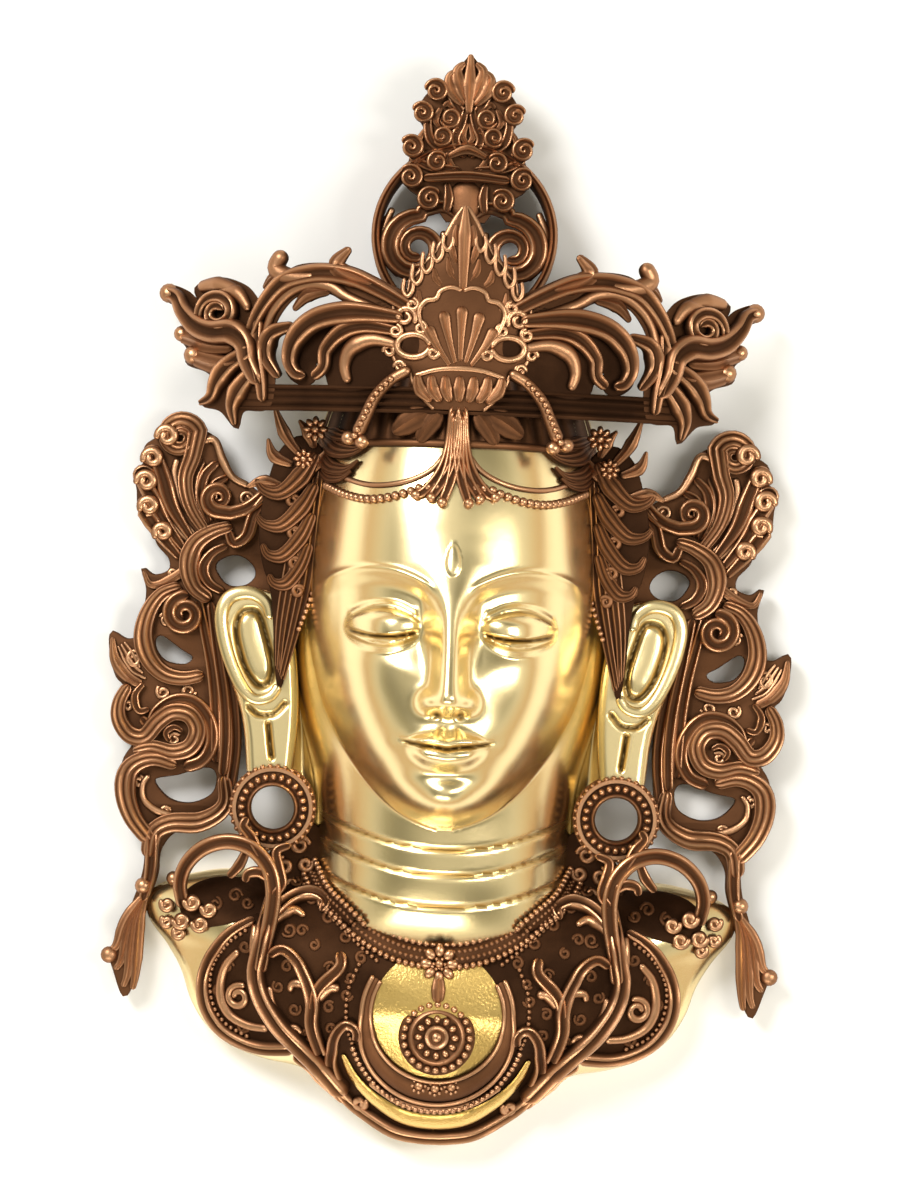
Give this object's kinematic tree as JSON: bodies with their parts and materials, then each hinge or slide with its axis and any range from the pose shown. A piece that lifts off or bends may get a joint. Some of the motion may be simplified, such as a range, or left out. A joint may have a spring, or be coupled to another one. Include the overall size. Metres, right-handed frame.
{
  "type": "wall mask",
  "caption": "Wall mask of a crowned deity in cast brass with openwork ribbons, earrings, a topknot and a tendril collar; hollow behind.",
  "frame": {"origin": "centre of the bounding box at its base, on the plane the rim behind lies in", "axes": "+Z out of the face, away from the wall; +Y up the mask to the finial; +X to the viewer's right"},
  "size_m": [0.3204, 0.508, 0.1214],
  "materials": {
    "polished_brass": "polished brass",
    "antique_bronze": "dark copper brown patina with the ridges rubbed bright"
  },
  "bodies": {
    "root": {"face_shell": "polished_brass", "crown": "antique_bronze", "topknot": "antique_bronze", "collar": "antique_bronze", "ribbon_panel_left": "antique_bronze", "ribbon_panel_right": "antique_bronze", "temple_lock_left": "antique_bronze", "temple_lock_right": "antique_bronze", "earring_left": "antique_bronze", "earring_right": "antique_bronze"}
  },
  "joints": []
}
